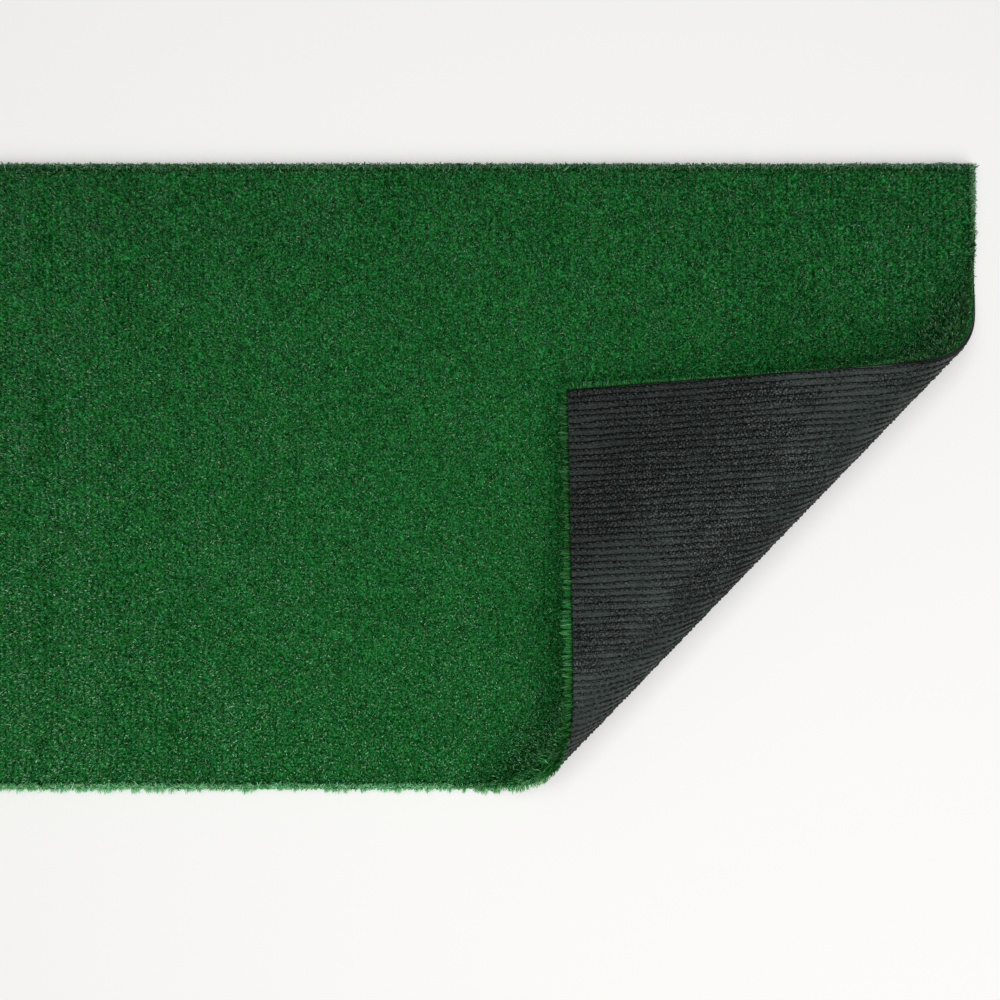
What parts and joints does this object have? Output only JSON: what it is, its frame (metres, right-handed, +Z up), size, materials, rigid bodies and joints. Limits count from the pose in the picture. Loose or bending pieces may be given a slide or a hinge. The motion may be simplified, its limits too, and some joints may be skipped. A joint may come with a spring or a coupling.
{
  "type": "turf hitting mat",
  "caption": "Rectangular tufted turf hitting mat on a ribbed rubber backing, lying flat with one front corner rolled over onto the pile.",
  "frame": {"origin": "on the floor, below the middle of the mat's outline", "axes": "+X along the mat's length, +Y from the front edge to the back edge, +Z up out of the pile"},
  "size_m": [0.61, 0.3096, 0.053],
  "materials": {
    "pile": "matte curled polypropylene yarn",
    "cloth": "woven polypropylene tape",
    "rubber": "satin black coating over the back-stitches"
  },
  "bodies": {
    "mat": {"rubber_mat": "rubber", "cloth_mat": "cloth", "pile_mat": "pile"},
    "strip_1": {"rubber_strip_1": "rubber", "cloth_strip_1": "cloth", "pile_strip_1": "pile"},
    "strip_2": {"rubber_strip_2": "rubber", "cloth_strip_2": "cloth", "pile_strip_2": "pile"},
    "strip_3": {"rubber_strip_3": "rubber", "cloth_strip_3": "cloth", "pile_strip_3": "pile"},
    "strip_4": {"rubber_strip_4": "rubber", "cloth_strip_4": "cloth", "pile_strip_4": "pile"},
    "strip_5": {"rubber_strip_5": "rubber", "cloth_strip_5": "cloth", "pile_strip_5": "pile"},
    "flap": {"rubber_flap": "rubber", "cloth_flap": "cloth", "pile_flap": "pile"}
  },
  "joints": [
    {"name": "fold_1", "type": "hinge", "parent": "mat", "child": "strip_1", "pos_m": [0.18254, -0.02305, 0], "axis": [0.6947, 0.7193, 0], "range_deg": [0, 33.05]},
    {"name": "fold_2", "type": "hinge", "parent": "strip_1", "child": "strip_2", "pos_m": [0.19183, -0.03202, 0.0084], "axis": [0.6947, 0.7193, 0], "range_deg": [0, 33.05]},
    {"name": "fold_3", "type": "hinge", "parent": "strip_2", "child": "strip_3", "pos_m": [0.19631, -0.03635, 0.02249], "axis": [0.6947, 0.7193, 0], "range_deg": [0, 33.05]},
    {"name": "fold_4", "type": "hinge", "parent": "strip_3", "child": "strip_4", "pos_m": [0.19455, -0.03465, 0.03769], "axis": [0.6947, 0.7193, 0], "range_deg": [0, 33.05]},
    {"name": "fold_5", "type": "hinge", "parent": "strip_4", "child": "strip_5", "pos_m": [0.1871, -0.02746, 0.0491], "axis": [0.6947, 0.7193, 0], "range_deg": [0, 33.05]},
    {"name": "fold_6", "type": "hinge", "parent": "strip_5", "child": "flap", "pos_m": [0.17639, -0.01711, 0.05302], "axis": [0.6947, 0.7193, 0], "range_deg": [0, 33.05]}
  ],
  "couplings": [
    {"joint": "fold_2", "follows": "fold_1", "ratio": 1},
    {"joint": "fold_3", "follows": "fold_1", "ratio": 1},
    {"joint": "fold_4", "follows": "fold_1", "ratio": 1},
    {"joint": "fold_5", "follows": "fold_1", "ratio": 1},
    {"joint": "fold_6", "follows": "fold_1", "ratio": 1}
  ]
}
